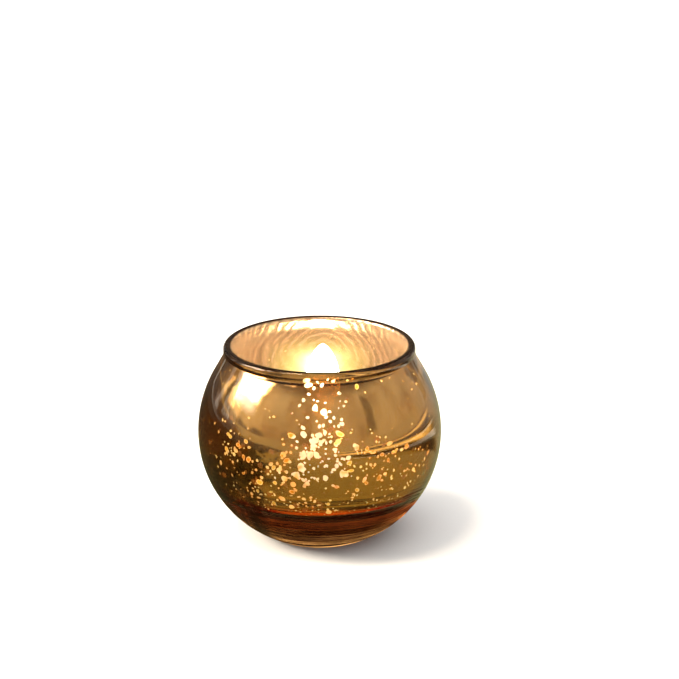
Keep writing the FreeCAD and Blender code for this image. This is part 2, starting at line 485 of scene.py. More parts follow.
def film_material(name, low, high, passes, glows, roughness, seen_through, with_painted_reflections):
    """Metallised film: a metal that lets a little amber light through, some of it scattered."""
    made, tree = material(name)
    spot = place(tree)
    colour = mixed(tree, height_share(tree, FLOOR_Z, FILM_TOP_Z), low, high)
    cloud = pattern(tree, spot, 70.0, 3.0, 0.55)
    shade = remapped(tree, cloud, 0.3, 0.7, 0.86, 1.1)
    colour = node(tree, "VectorMath", {0: colour, 1: shade}, operation="MULTIPLY").outputs[0]
    if with_painted_reflections:
        # Painted reflection: dark patches, standing for dark surroundings the film mirrors.
        colour = mixed(tree, painted_dark_reflections(tree, spot), colour, (0.075, 0.05, 0.012))
        # Painted reflection: a dark red band along the lower edge, standing for the shaded floor under the
        # globe.
        colour = mixed(tree, painted_edge_reflection(tree, spot), colour, (0.34, 0.055, 0.005))
    waves = pattern(tree, spot, 55.0, 1.0, 0.4)
    metal = node(tree, "BsdfPrincipled", {
        "Base Color": colour, "Metallic": 1.0, "Roughness": roughness,
        "Normal": bumped(tree, waves, 0.25, 0.6 * MM)})
    glow = node(tree, "BsdfTranslucent", {"Color": (*seen_through, 1)})
    clear = node(tree, "BsdfTransparent", {"Color": (*seen_through, 1)})
    lit = blended(tree, glows, metal, glow)
    mix = blended(tree, passes, lit, clear)
    return finished(made, mix)


SWIRL_MIDDLE = (0.002, 0.034, 0.050)   # metres
PAINTED_RIM_SHADE_DROP = 0.42                        # how far below the crown the painted shade on the film begins, in millimetres


def inner_film_material():
    """The cavity side of the film: a soft copper mirror with smeared, wood-like swirls, darkened at the rim
    as painted shade.
    """
    made, tree = material("copper_film")
    spot = place(tree)
    around = node(tree, "VectorMath", {0: spot, 1: SWIRL_MIDDLE}, operation="SUBTRACT").outputs[0]
    swirl = node(tree, "TexWave", {
        "Vector": around, "Scale": 100.0, "Distortion": 11.0,
        "Detail": 4.0, "Detail Scale": 0.6, "Detail Roughness": 0.65},
        wave_type="RINGS", rings_direction="SPHERICAL").outputs["Fac"]
    colour = mixed(tree, swirl, (0.34, 0.23, 0.15), (0.52, 0.38, 0.25))
    specks = pattern(tree, spot, 1500.0, 1.0, 0.5)
    colour = mixed(tree, remapped(tree, specks, 0.74, 0.78), colour, (0.20, 0.10, 0.04))
    # Painted shade: the film's top at the crown is darkened, standing for the dark line the clear rim shows.
    rim = height_share(tree, CROWN_Z - PAINTED_RIM_SHADE_DROP, CROWN_Z - PAINTED_RIM_SHADE_DROP + 0.2)
    colour = mixed(tree, rim, colour, (0.05, 0.028, 0.014))
    soft = node(tree, "BsdfPrincipled", {
        "Base Color": colour, "Metallic": 0.75, "Roughness": 0.26,
        "Normal": bumped(tree, swirl, 0.3, 0.4 * MM)})
    clear = node(tree, "BsdfTransparent", {"Color": (1.0, 0.62, 0.24, 1)})
    mix = blended(tree, 0.12, soft, clear)
    return finished(made, mix)


def clear_material():
    """Lacquer too thin to see, on the glass side of a speck."""
    made, tree = material("clear_lacquer")
    haze = pattern(tree, place(tree), 400.0, 2.0, 0.5)
    colour = mixed(tree, haze, (0.94, 0.92, 0.88), (1.0, 1.0, 1.0))
    clear = node(tree, "BsdfTransparent", {"Color": colour})
    return finished(made, clear)


def spot_material(name, bare, pale, deep, clearness):
    """What fills a speck: a breath of lacquer, which glows with the light inside. Towards -Y at the flame's
    height it is painted near white: painted light, standing for the flame seen through the specks.
    """
    made, tree = material(name)
    spot = place(tree)
    patches = pattern(tree, spot, 150.0, 2.0, 0.5)
    colour = ramp(tree, patches, [(0.42, deep), (0.56, pale)])
    around = azimuth_from(tree, spot, FRONT_DEG - 1)
    around = maths(tree, "MULTIPLY_ADD", minus(tree, patches, 0.5), 60.0, around)
    # Painted light: towards -Y at the flame's height the specks take the near-white colour bare, for the
    # flame seen through them.
    flame_glow_zone = times(tree, window(tree, around, 0.0, 9.0, 9.0), window(tree, height_mm(tree), 46.0, 12.0, 6.0))
    colour = mixed(tree, flame_glow_zone, colour, bare)
    glow = node(tree, "BsdfTranslucent", {"Color": colour})
    clear = node(tree, "BsdfTransparent", {"Color": colour})
    mix = blended(tree, clearness, glow, clear)
    return finished(made, mix)


def wax_material(name, colour, roughness, coat):
    made, tree = material(name)
    spot = place(tree)
    mottle = pattern(tree, spot, 260.0, 4.0, 0.6)
    fine = pattern(tree, spot, 1400.0, 2.0, 0.6)
    shade = mixed(tree, mottle, tuple(c * 0.93 for c in colour), colour)
    bump = bumped(tree, plus(tree, mottle, fine), 0.35, 0.1 * MM)
    wax = node(tree, "BsdfPrincipled", {
        "Base Color": shade, "Roughness": roughness, "IOR": 1.43, "Subsurface Weight": 0.8,
        "Subsurface Radius": (0.006, 0.0035, 0.0018), "Subsurface Scale": 1.0,
        "Coat Weight": coat, "Coat Roughness": 0.03, "Normal": bump})
    return finished(made, wax)


def aluminium_material():
    made, tree = material("drawn_aluminium")
    spot = place(tree)
    lines = pattern(tree, scaled(tree, spot, (900, 900, 60)), 1.0, 3.0, 0.6)
    cloud = pattern(tree, spot, 160.0, 3.0, 0.5)
    colour = mixed(tree, cloud, (0.72, 0.72, 0.73), (0.86, 0.86, 0.87))
    metal = node(tree, "BsdfPrincipled", {
        "Base Color": colour, "Metallic": 1.0, "Roughness": remapped(tree, lines, 0.0, 1.0, 0.2, 0.42),
        "Normal": bumped(tree, lines, 0.3, 0.05 * MM)})
    return finished(made, metal)


def steel_material():
    made, tree = material("tinned_steel")
    spot = place(tree)
    blotch = pattern(tree, spot, 500.0, 4.0, 0.6)
    colour = mixed(tree, blotch, (0.50, 0.49, 0.47), (0.70, 0.69, 0.67))
    metal = node(tree, "BsdfPrincipled", {
        "Base Color": colour, "Metallic": 1.0, "Roughness": remapped(tree, blotch, 0.0, 1.0, 0.3, 0.55),
        "Normal": bumped(tree, blotch, 0.3, 0.05 * MM)})
    return finished(made, metal)


def wick_material():
    made, tree = material("burnt_cotton")
    spot = place(tree)
    fibre = pattern(tree, scaled(tree, spot, (3000, 3000, 700)), 1.0, 3.0, 0.7)
    share = height_share(tree, POOL_Z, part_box("wick")[1].z / MM)
    edge = plus(tree, share, times(tree, minus(tree, fibre, 0.5), 0.25))
    colour = ramp(tree, edge, [
        (0.0, (0.75, 0.66, 0.48)), (0.12, (0.42, 0.29, 0.15)), (0.26, (0.05, 0.035, 0.025)),
        (0.9, (0.015, 0.013, 0.012))])
    ember = ramp(tree, edge, [(0.86, (0, 0, 0)), (1.0, (1.0, 0.25, 0.04))])
    cord = node(tree, "BsdfPrincipled", {
        "Base Color": colour, "Roughness": 0.85, "Sheen Weight": 0.3, "Emission Color": ember,
        "Emission Strength": 4.0, "Normal": bumped(tree, fibre, 0.7, 0.15 * MM)})
    return finished(made, cord)


# Flame, and the glow round it: heights, radius, and the rounding of the glow's outline.
FLAME_FOOT_Z = POOL_Z + 2.6
FLAME_TIP_Z = 64.0
HALO_R = 21.0
HALO_ROUND = 6.0
HALO_FOOT_Z = 37.0
HALO_TOP_Z = 64.3


def flame_material():
    made, tree = material("flame_glow")
    share = height_share(tree, FLAME_FOOT_Z, FLAME_TIP_Z)
    colour = ramp(tree, share, [
        (0.0, (0.10, 0.16, 0.6)), (0.12, (0.55, 0.28, 0.12)), (0.28, (1.0, 0.76, 0.46)),
        (0.7, (1.0, 0.85, 0.58)), (1.0, (1.0, 0.8, 0.5))])
    power = ramp(tree, share, [
        (0.0, grey(0.02)), (0.16, grey(0.12)), (0.3, grey(0.8)), (0.6, grey(1.0)), (1.0, grey(0.7))])
    glow = node(tree, "Emission", {"Color": colour, "Strength": times(tree, power, 95.0)})
    return finished(made, glow)


# Bright and dark lines of a table's edge, which the globe mirrors on one side: distance, half width and
# softness in millimetres, and colour.
EDGE_STRIPES = [
    (188.0, 16.0, 12.0, (0.13, 0.10, 0.05)),
    (238.0, 13.0, 8.0, (2.7, 2.4, 1.8)),
    (284.0, 19.0, 9.0, (0.12, 0.10, 0.05)),
    (330.0, 11.0, 8.0, (2.3, 2.05, 1.5)),
    (364.0, 10.0, 8.0, (0.2, 0.17, 0.10)),
]


def halo_material():
    """Glow round the flame, thinning out to nothing at its edge."""
    made, tree = material("flame_halo")
    off = length(tree, scaled(tree, place(tree), (1 / (HALO_R * MM), 1 / (HALO_R * MM), 0)))
    inside = minus(tree, 1.0, times(tree, off, off), clamp=True)
    foot = height_share(tree, HALO_FOOT_Z, HALO_FOOT_Z + 6.0)
    top = minus(tree, 1.0, height_share(tree, HALO_TOP_Z - 4.0, HALO_TOP_Z))
    fade = times(tree, times(tree, inside, inside), times(tree, foot, top))
    close = maths(tree, "POWER", fade, 6.0)
    colour = mixed(tree, maths(tree, "POWER", fade, 4.0), (1.0, 0.84, 0.18), (1.0, 0.94, 0.74))
    strength = maths(tree, "MULTIPLY_ADD", close, 170.0, times(tree, fade, 44.0))
    glow = node(tree, "Emission", {"Color": colour, "Strength": strength})
    clear = node(tree, "BsdfTransparent")
    return finished(made, clear, glow)


def floor_material():
    """A pale floor. What the globe mirrors of it is a warmer and darker tabletop, for contrast."""
    made, tree = material("pale_floor")
    spot = place(tree)
    grain = pattern(tree, spot, 900.0, 3.0, 0.5)
    colour = mixed(tree, grain, (0.80, 0.795, 0.785), (0.83, 0.825, 0.815))
    matt = node(tree, "BsdfPrincipled", {
        "Base Color": colour, "Roughness": 0.75, "Specular IOR Level": 0.2})
    reach = times(tree, length(tree, spot), 1 / MM)
    share = maths(tree, "DIVIDE", reach, 400.0)
    # Painted light and shade: within about 40 mm of the middle, under the globe's foot, the tabletop is amber
    # and dark red, for the amber light and shade under the globe seen through its base.
    table = ramp(tree, share, [
        (0.02, (0.95, 0.62, 0.22)), (0.045, (0.85, 0.42, 0.12)), (0.07, (0.62, 0.24, 0.06)),
        (0.092, (0.85, 0.16, 0.03)), (0.105, (0.50, 0.45, 0.19)),
        (0.42, (0.66, 0.60, 0.36)), (0.8, (0.84, 0.76, 0.56)), (1.0, (0.86, 0.80, 0.66))])
    turn = azimuth_from(tree, spot, -20.0)
    polar = node(tree, "CombineXYZ", {"X": reach, "Y": times(tree, turn, 0.012)}).outputs[0]
    rings = pattern(tree, polar, 0.6, 3.0, 0.65)
    near = minus(tree, 1.0, maths(tree, "DIVIDE", reach, 58.0), clamp=True)
    streaks = times(tree, minus(tree, rings, 0.52), times(tree, near, 34.0))
    streaks = maths(tree, "MAXIMUM", plus(tree, 1.0, streaks), 0.05)
    table = node(tree, "VectorMath", {0: table, 1: streaks}, operation="MULTIPLY").outputs[0]
    slant = maths(tree, "MULTIPLY_ADD", turn, 1.45, reach)
    facing = window(tree, turn, 0.0, 48.0, 10.0)
    for middle, half, soft, tone in EDGE_STRIPES:
        stripe = times(tree, window(tree, slant, middle, half, soft), facing)
        table = mixed(tree, stripe, table, tone)
    ragged = minus(tree, pattern(tree, spot, 20.0, 5.0, 0.65, 1.2), 0.5)
    around = plus(tree, azimuth_from(tree, spot, 176.0), times(tree, ragged, 110.0))
    within = plus(tree, reach, times(tree, ragged, 260.0))
    dark = times(tree, window(tree, around, 0.0, 47.0, 7.0), window(tree, within, 225.0, 185.0, 26.0))
    table = mixed(tree, times(tree, dark, 0.93), table, (0.07, 0.06, 0.022))
    behind = window(tree, azimuth_from(tree, spot, 140.0), 0.0, 36.0, 20.0)
    far = window(tree, reach, 700.0, 560.0, 60.0)
    table = mixed(tree, times(tree, times(tree, behind, far), 0.9), table, (0.10, 0.06, 0.03))
    mirrored = node(tree, "Emission", {"Color": table})
    path = node(tree, "LightPath")
    plain = maths(tree, "MAXIMUM", path.outputs["Is Camera Ray"], path.outputs["Is Diffuse Ray"])
    mix = blended(tree, plain, mirrored, matt)
    return finished(made, mix)


# ---- glass globe ---------------------------------------------------------------------------------
def make_glass():
    section = joined(rippled(outside_section()), inside_section())
    piece = turned("glass_globe", section, 256)
    piece.data.materials.append(glass_material())
    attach(piece, "holder")
    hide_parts("glass_bowl")
    return piece


# ---- speckled film -------------------------------------------------------------------------------
FILM_REF_R = 34.0          # flat width of the film is this radius times the azimuth
FILM_INTO_GLASS = 0.05     # the film's faces lie on either side of the glass surface
FILM_INTO_AIR = 0.10
LIP_THINNING = 0.2         # of its thickness into the air, what the film has on the crown of the lip
FAINT_SHARE = 0.22         # of the specks, those where film is left, but thin
SPOT_INTO_GLASS = 0.02
SPOT_INTO_AIR = 0.05
FILM_COLUMNS = 180
FILM_DISC_R = 6.0          # the floor's middle is closed by a fan inside this radius
SEAM_DEG = 90.0
FRONT_DEG = -90.0


def blob(rng, x, y, size, corners, ragged, stretch, lean, local_r):
    """Outline of one speck on the flattened film. x and y are in flat millimetres."""
    waves = [(k, rng.uniform(0.2, 1.0) * ragged / k, rng.uniform(0, 2 * math.pi)) for k in (2, 3, 4, 5)]
    outline = []
    for k in range(corners):
        angle = 2 * math.pi * k / corners
        reach = size * (1 + sum(a * math.cos(n * angle + p) for n, a, p in waves))
        along, across = reach * math.cos(angle) * stretch, reach * math.sin(angle) / stretch
        dx = along * math.cos(lean) - across * math.sin(lean)
        dy = along * math.sin(lean) + across * math.cos(lean)
        outline.append((x + dx * FILM_REF_R / local_r, y + dy))
    return outline


def speck_places(rng):
    """Where the specks are: (azimuth in degrees, height, size), in clusters and loose between them."""
    found = []

    def cluster(azimuth, height, spread_deg, spread_z, count, small, large, big_share):
        for _ in range(count):
            size = rng.uniform(small, large) * 0.85
            if rng.random() < big_share:
                size = rng.uniform(large * 0.85, large * 1.6)
            found.append((rng.gauss(azimuth, spread_deg), rng.gauss(height, spread_z), size))

    # the side towards -Y
    cluster(FRONT_DEG + 1, 46, 6, 4.5, 46, 0.32, 0.72, 0.34)
    cluster(FRONT_DEG - 1, 38, 8, 4.0, 62, 0.28, 0.66, 0.26)
    cluster(FRONT_DEG + 3, 55, 9, 3.2, 30, 0.30, 0.68, 0.30)
    cluster(FRONT_DEG + 4, 61.4, 8, 0.7, 12, 0.25, 0.60, 0.20)
    cluster(FRONT_DEG - 16, 33, 7, 3.2, 52, 0.28, 0.70, 0.30)
    cluster(FRONT_DEG - 40, 33, 11, 4.5, 50, 0.25, 0.62, 0.26)
    cluster(FRONT_DEG - 34, 24, 14, 2.6, 36, 0.20, 0.45, 0.14)
    cluster(FRONT_DEG + 28, 37, 9, 5.0, 44, 0.25, 0.60, 0.22)
    cluster(FRONT_DEG + 24, 26, 16, 3.4, 46, 0.18, 0.42, 0.12)
    cluster(FRONT_DEG + 62, 29, 9, 5.5, 40, 0.25, 0.50, 0.18)
    cluster(FRONT_DEG - 6, 23, 10, 2.2, 34, 0.25, 0.62, 0.22)
    cluster(FRONT_DEG, 21, 30, 1.6, 44, 0.16, 0.32, 0.06)
    # all round
    for k in range(16):
        azimuth = 360.0 * k / 16 + rng.uniform(-9, 9)
        cluster(azimuth, rng.uniform(24, 44), rng.uniform(6, 12), rng.uniform(3, 7), 22, 0.22, 0.58, 0.2)
    for _ in range(330):
        height = 18.5 + 42 * rng.random() ** 1.5
        found.append((rng.uniform(-180, 180), height, rng.uniform(0.16, 0.42)))
    return found


def film_outlines(rng):
    """Outlines on the flattened film: bare specks, thin islands inside some of them, and thin spots."""
    specks, islands, faint = [], [], []
    lowest = WALL.length - WALL.floor_r
    for azimuth, height, size in speck_places(rng):
        flat_deg = (azimuth - SEAM_DEG) % 360.0
        wanted = (rng.random(), rng.uniform(0, math.pi), rng.uniform(1.0, 1.28), rng.random())
        if not FLOOR_Z + 0.4 < height < FILM_TOP_Z - 0.9:
            continue
        run = WALL.run_at_height(height)
        if run + 2 * size > lowest or run < 1.5 * size + 0.3:
            continue
        local_r = WALL.at(run)[0]
        x = math.radians(flat_deg) * FILM_REF_R
        margin = 3.0 * size * FILM_REF_R / local_r + 0.5
        if not margin < x < 2 * math.pi * FILM_REF_R - margin:
            continue
        corners = 9 if size < 0.35 else 14 if size < 0.8 else 20
        if wanted[3] < FAINT_SHARE:
            faint.append(blob(rng, x, run, size * 1.15, corners, 0.22, wanted[2], wanted[1], local_r))
            continue
        state = rng.getstate()
        specks.append(blob(rng, x, run, size, corners, 0.22, wanted[2], wanted[1], local_r))
        if size > 0.52 and wanted[0] < 0.6:
            rng.setstate(state)
            share = 0.62 + 0.14 * wanted[3]
            islands.append(blob(rng, x, run, size * share, corners, 0.22, wanted[2], wanted[1], local_r))
    return specks, islands, faint


def film_layout():
    """The flattened film's vertices, and its triangles: film, islands, bare specks and faint spots."""
    rng = random.Random(SEED)
    specks, islands, faint = film_outlines(rng)
    width = 2 * math.pi * FILM_REF_R
    end = WALL.length - FILM_DISC_R
    rows = [run for run in WALL.rows(1.2, 3.0) if run < end - 0.3] + [end]
    columns = [width * k / FILM_COLUMNS for k in range(FILM_COLUMNS + 1)]

    points, index = [], {}
    for j, run in enumerate(rows):
        for i, x in enumerate(columns):
            index[i, j] = len(points)
            points.append((x, run))
    last_i, last_j = len(columns) - 1, len(rows) - 1
    border = [index[i, 0] for i in range(last_i)] + [index[last_i, j] for j in range(last_j)]
    border += [index[i, last_j] for i in range(last_i, 0, -1)] + [index[0, j] for j in range(last_j, 0, -1)]
    faces = [border]
    for outline in specks + islands + faint:
        faces.append(list(range(len(points), len(points) + len(outline))))
        points += outline
    flat, _, triangles, _, _, origins = delaunay_2d_cdt([Vector(p) for p in points], [], faces, 0, 1e-6, True)
    first_island = 1 + len(specks)
    first_faint = first_island + len(islands)
    film, thin, bare, dim = [], [], [], []
    for triangle, origin in zip(triangles, origins):
        if 0 not in origin:
            continue
        if any(first_island <= o < first_faint for o in origin):
            thin.append(tuple(triangle))
        elif len(origin) == 1:
            film.append(tuple(triangle))
        elif all(o == 0 or o >= first_faint for o in origin):
            dim.append(tuple(triangle))
        else:
            bare.append(tuple(triangle))
    return [tuple(p) for p in flat], film, thin, bare, dim, width, end


def film_shell(name, flat, triangles, width, end, into_glass, into_air, fan):
    """Closed thin shell over the given triangles of the flattened film, with the wall's true normals."""
    used, order = {}, []

    def vertex(index):
        x, run = flat[index]
        if x > width - 1e-4:
            x = 0.0
        key = (round(x, 4), round(run, 4))
        if key not in used:
            used[key] = len(order)
            order.append((x, run))
        return used[key]

    faces = [tuple(vertex(i) for i in triangle) for triangle in triangles]
    faces = [f for f in faces if len(set(f)) == 3]
    outer, inner, normals = [], [], []
    for x, run in order:
        azimuth = x / FILM_REF_R + math.radians(SEAM_DEG)
        r, z, nr, nz = WALL.at(run)
        c, s = math.cos(azimuth), math.sin(azimuth)
        normal = Vector((nr * c, nr * s, nz))
        at = Vector((r * c, r * s, z))
        outer.append((at + normal * into_glass) * MM)
        thinning = LIP_THINNING + (1 - LIP_THINNING) * min(run / WALL.parts[0][0], 1.0)
        inner.append((at - normal * into_air * thinning) * MM)
        normals.append(normal)
    if fan:
        rim = sorted((x, used[round(x, 4), round(run, 4)]) for x, run in order if abs(run - end) < 1e-4)
        centre = len(outer)
        outer.append(Vector((0, 0, FLOOR_Z - into_glass)) * MM)
        inner.append(Vector((0, 0, FLOOR_Z + into_air)) * MM)
        normals.append(Vector((0, 0, -1)))
        ring = [i for _, i in rim]
        faces += [(ring[k], centre, ring[(k + 1) % len(ring)]) for k in range(len(ring))]

    # Turn every face so that its outer side looks into the glass.
    turned_faces = []
    for a, b, c in faces:
        across = (outer[b] - outer[a]).cross(outer[c] - outer[a])
        facing = across.dot(normals[a] + normals[b] + normals[c])
        turned_faces.append((a, b, c) if facing > 0 else (a, c, b))
    edges = {}
    for a, b, c in turned_faces:
        for edge in ((a, b), (b, c), (c, a)):
            edges[edge] = edges.get(edge, 0) + 1
    rims = [edge for edge in edges if (edge[1], edge[0]) not in edges]
    count = len(outer)
    verts = outer + inner
    all_faces = list(turned_faces)
    all_faces += [(a + count, c + count, b + count) for a, b, c in turned_faces]
    all_faces += [(b, a, a + count, b + count) for a, b in rims]
    mesh = bpy.data.meshes.new(name)
    mesh.from_pydata([tuple(v) for v in verts], [], all_faces)
    mesh.shade_smooth()
    loop_normals = []
    half = len(turned_faces)
    for k, polygon in enumerate(mesh.polygons):
        for v in polygon.vertices:
            if k < half:
                loop_normals.append(tuple(normals[v]))
            elif k < 2 * half:
                loop_normals.append(tuple(-normals[v - count]))
            else:
                loop_normals.append(tuple(polygon.normal))
    mesh.normals_split_custom_set(loop_normals)
    for k, polygon in enumerate(mesh.polygons):
        polygon.material_index = 1 if half <= k < 2 * half else 0
    return shown(name, mesh)


def make_film():
    flat, film, thin, bare, dim, width, end = film_layout()
    outside = film_material("gold_film", (0.60, 0.39, 0.095), (0.64, 0.45, 0.215), 0.06, 0.05, 0.05,
                            (1.0, 0.58, 0.20), True)
    piece = film_shell("speckled_film", flat, film, width, end, FILM_INTO_GLASS, FILM_INTO_AIR, True)
    piece.data.materials.append(outside)
    piece.data.materials.append(inner_film_material())
    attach(piece, "holder")
    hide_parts("mirror_coating")
    worn = film_material("worn_film", (0.66, 0.36, 0.12), (0.70, 0.40, 0.18), 0.10, 0.16, 0.2,
                         (1.0, 0.58, 0.20), False)
    faded = film_shell("faint_spots", flat, dim, width, end, SPOT_INTO_GLASS, SPOT_INTO_AIR, False)
    faded.data.materials.append(worn)
    faded.data.materials.append(worn)
    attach(faded, "holder")
    clear = clear_material()
    # The third colour in each row is painted light: near white, for specks towards -Y at the flame's height.
    for name, triangles, flame_glow_tone, pale, deep, clearness in (
            ("lacquer_islands", thin, (1.0, 0.93, 0.76), (0.66, 0.44, 0.09), (0.46, 0.19, 0.03), 0.2),
            ("bare_specks", bare, (1.0, 0.98, 0.92), (1.0, 0.80, 0.36), (0.90, 0.50, 0.18), 0.35)):
        spots = film_shell(name, flat, triangles, width, end, SPOT_INTO_GLASS, SPOT_INTO_AIR, False)
        spots.data.materials.append(clear)
        spots.data.materials.append(spot_material(name, flame_glow_tone, pale, deep, clearness))
        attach(spots, "holder")


# ---- tealight ------------------------------------------------------------------------------------
def cup_wall_r(z):
    return CUP_BASE_R + (CUP_TOP_R - CUP_BASE_R) * z / CUP_HEIGHT - CUP_SHEET


def make_cup():
    curl = (cup_wall_r(CUP_HEIGHT) + CURL_ROUND, CUP_HEIGHT - CURL_ROUND)
    inside_round = CURL_ROUND - CUP_SHEET
    end = math.radians(-130)
    heel = (CUP_BASE_R - CUP_HEEL_ROUND, CUP_HEEL_ROUND)
    slope_out = (PANEL_R - PANEL_SLOPE, PANEL_RISE)
    slope_in = (slope_out[0] - CUP_SHEET / 2, PANEL_RISE + CUP_SHEET)
    foot_in = (PANEL_R - CUP_SHEET / 2, CUP_SHEET)
    outer_foot, outer_top = (CUP_BASE_R, heel[1]), (curl[0] - inside_round, curl[1])
    inner_foot, inner_top = (CUP_BASE_R - CUP_SHEET, heel[1]), (curl[0] - CURL_ROUND, curl[1])
    section = joined(
        line_points((0, PANEL_RISE), slope_out, 3.0),
        line_points(slope_out, (PANEL_R, 0), 0.5),
        line_points((PANEL_R, 0), (heel[0], 0), 1.0),
        arc_points(heel, CUP_HEEL_ROUND, -math.pi / 2, 0, 0.2),
        line_points(outer_foot, outer_top, 0.9),
        arc_points(curl, inside_round, math.pi, end, 0.12),
        arc_points(curl, CURL_ROUND, end, math.pi, 0.14),
        line_points(inner_top, inner_foot, 0.9),
        arc_points(heel, CUP_HEEL_ROUND - CUP_SHEET, 0, -math.pi / 2, 0.2),
        line_points((heel[0], CUP_SHEET), foot_in, 1.0),
        line_points(foot_in, slope_in, 0.5),
        line_points(slope_in, (0, PANEL_RISE + CUP_SHEET), 3.0),
    )

    def fluted(radius, height, azimuth):
        share = clamped((height - 2.0) / 3.0) * clamped((CUP_HEIGHT - 0.9 - height) / 1.2)
        swell = FLUTE_SWELL * share * math.cos(FLUTES * azimuth) if radius > CUP_BASE_R - 1 else 0.0
        return radius + swell, height + STAND_Z

    section = [(r, z + (STAND_Z if r < 1e-6 else 0)) for r, z in section]
    piece = turned("drawn_cup", section, 6 * FLUTES, fluted)
    piece.data.materials.append(aluminium_material())
    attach(piece, "tealight")
    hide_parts("tealight_cup")


def make_wax():
    foot_z = STAND_Z + CUP_SHEET
    side_z = STAND_Z + CUP_HEEL_ROUND + WAX_GAP
    side_r = cup_wall_r(CUP_HEEL_ROUND + WAX_GAP) - WAX_GAP
    top_r = cup_wall_r(WAX_TOP_Z - STAND_Z) - WAX_GAP
    foot_r = CUP_BASE_R - CUP_HEEL_ROUND - WAX_GAP
    edge = PANEL_R + WAX_GAP
    bore = WICK_R + 0.02
    section = joined(
        line_points((bore, PANEL_Z), (PANEL_R - PANEL_SLOPE, PANEL_Z), 2.0),
        line_points((PANEL_R - PANEL_SLOPE, PANEL_Z), (edge, foot_z), 0.5),
        line_points((edge, foot_z), (foot_r, foot_z), 1.0),
        line_points((foot_r, foot_z), (side_r, side_z), 0.5),
        line_points((side_r, side_z), (top_r, WAX_TOP_Z - 0.25), 0.8),
        arc_points((top_r - 0.25, WAX_TOP_Z - 0.25), 0.25, 0, math.pi / 2, 0.1),
        line_points((top_r - 0.25, WAX_TOP_Z), (WAX_BANK_R, WAX_TOP_Z), 0.3),
        line_points((WAX_BANK_R, WAX_TOP_Z), (POOL_R, POOL_Z), 0.2),
        line_points((POOL_R, POOL_Z), (bore, POOL_Z), 0.8),
        line_points((bore, POOL_Z), (bore, PANEL_Z), 1.2),
    )

    def uneven(radius, height, azimuth):
        """The bank round the pool melts back unevenly, and its edge is soft."""
        if height < POOL_Z - 0.01 or radius < 10:
            return radius, height
        around = Vector((math.cos(azimuth), math.sin(azimuth), 0.3))
        share = clamped((radius - 13.0) / 2.5) * clamped((top_r - radius) / 0.8)
        shifted = radius + 0.55 * noise.noise(around * 2.1) * share
        lowered = height - 0.10 * (0.5 + noise.noise(around * 3.7 + Vector((5, 1, 2)))) * share
        return shifted, max(lowered, POOL_Z - 0.05)

    piece = turned("candle_wax", section, 256, uneven, 60)
    piece.data.materials.append(wax_material("paraffin_wax", (0.72, 0.68, 0.61), 0.45, 0.1))
    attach(piece, "candle")
    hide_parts("wax")

    pool_top = POOL_Z + 0.45
    edge_r = POOL_R + 0.42 * (WAX_BANK_R - POOL_R)
    meniscus_radii = (2.2, 2.0, 1.8, 1.6, 1.4, 1.2, 1.05, bore)
    pool = joined(
        line_points((bore, POOL_Z - 0.06), (POOL_R - 0.2, POOL_Z - 0.06), 2.0),
        line_points((POOL_R - 0.2, POOL_Z - 0.06), (edge_r + 0.35, pool_top + 0.02), 0.3),
        line_points((edge_r + 0.35, pool_top + 0.02), (edge_r - 0.9, pool_top - 0.05), 0.2),
        line_points((edge_r - 0.9, pool_top - 0.05), (2.4, pool_top - 0.05), 1.0),
        [(r, pool_top - 0.05 + 0.42 * math.exp(-(r - bore) / 0.5)) for r in meniscus_radii],
    )

    def shore(radius, height, azimuth):
        around = Vector((math.cos(azimuth), math.sin(azimuth), 0.3))
        share = clamped((radius - 13.0) / 2.5)
        return radius + 0.5 * noise.noise(around * 2.1) * share, height

    surface = turned("melt_pool", pool, 192, shore, 80)
    surface.data.materials.append(wax_material("molten_wax", (0.70, 0.58, 0.38), 0.06, 1.0))
    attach(surface, "candle")


def wick_path():
    """Points and directions up the middle of the wick, curling towards +X at its tip."""
    bend_z = POOL_Z + WICK_STRAIGHT
    straight = [(Vector((0, 0, PANEL_Z + (bend_z - PANEL_Z) * k / 40)), Vector((0, 0, 1))) for k in range(40)]
    curl = []
    for k in range(13):
        angle = math.radians(WICK_BEND_DEG) * k / 12
        at = Vector((WICK_BEND - WICK_BEND * math.cos(angle), 0, bend_z + WICK_BEND * math.sin(angle)))
        curl.append((at, Vector((math.sin(angle), 0, math.cos(angle)))))
    return straight + curl


def make_wick():
    """Twisted strands: a lobed section that turns as it climbs and thins where it has burnt."""
    path = wick_path()
    sides, verts, faces = 36, [], []
    side_axis = Vector((0, 1, 0))
    climbed = 0.0
    for step, (at, along) in enumerate(path):
        if step:
            climbed += (at - path[step - 1][0]).length
        other = along.cross(side_axis)
        turn = climbed / 2.6 * math.pi
        burnt = clamped((at.z - POOL_Z - 1.0) / 7.0)
        for k in range(sides):
            angle = 2 * math.pi * k / sides
            lobe = 0.80 + 0.20 * abs(math.cos(1.5 * (angle - turn)))
            rough = 1 + 0.10 * burnt * noise.noise(Vector((math.cos(angle), math.sin(angle), climbed)) * 2.5)
            reach = WICK_R * lobe * rough * (1 - 0.28 * burnt)
            verts.append((at + (side_axis * math.cos(angle) + other * math.sin(angle)) * reach) * MM)
    for step in range(len(path) - 1):
        for k in range(sides):
            n = (k + 1) % sides
            low, high = step * sides, (step + 1) * sides
            faces.append((low + k, high + k, high + n, low + n))
    faces.append(tuple(range(sides)))
    tip = path[-1][0] + path[-1][1] * 0.25
    verts.append(tip * MM)
    top = (len(path) - 1) * sides
    faces += [(top + k, len(verts) - 1, top + (k + 1) % sides) for k in range(sides)]
    mesh = bpy.data.meshes.new("twisted_wick")
    mesh.from_pydata([tuple(v) for v in verts], [], faces)
    mesh.shade_smooth()
    piece = shown("twisted_wick", mesh)
    piece.data.materials.append(wick_material())
    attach(piece, "candle")
    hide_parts("wick")


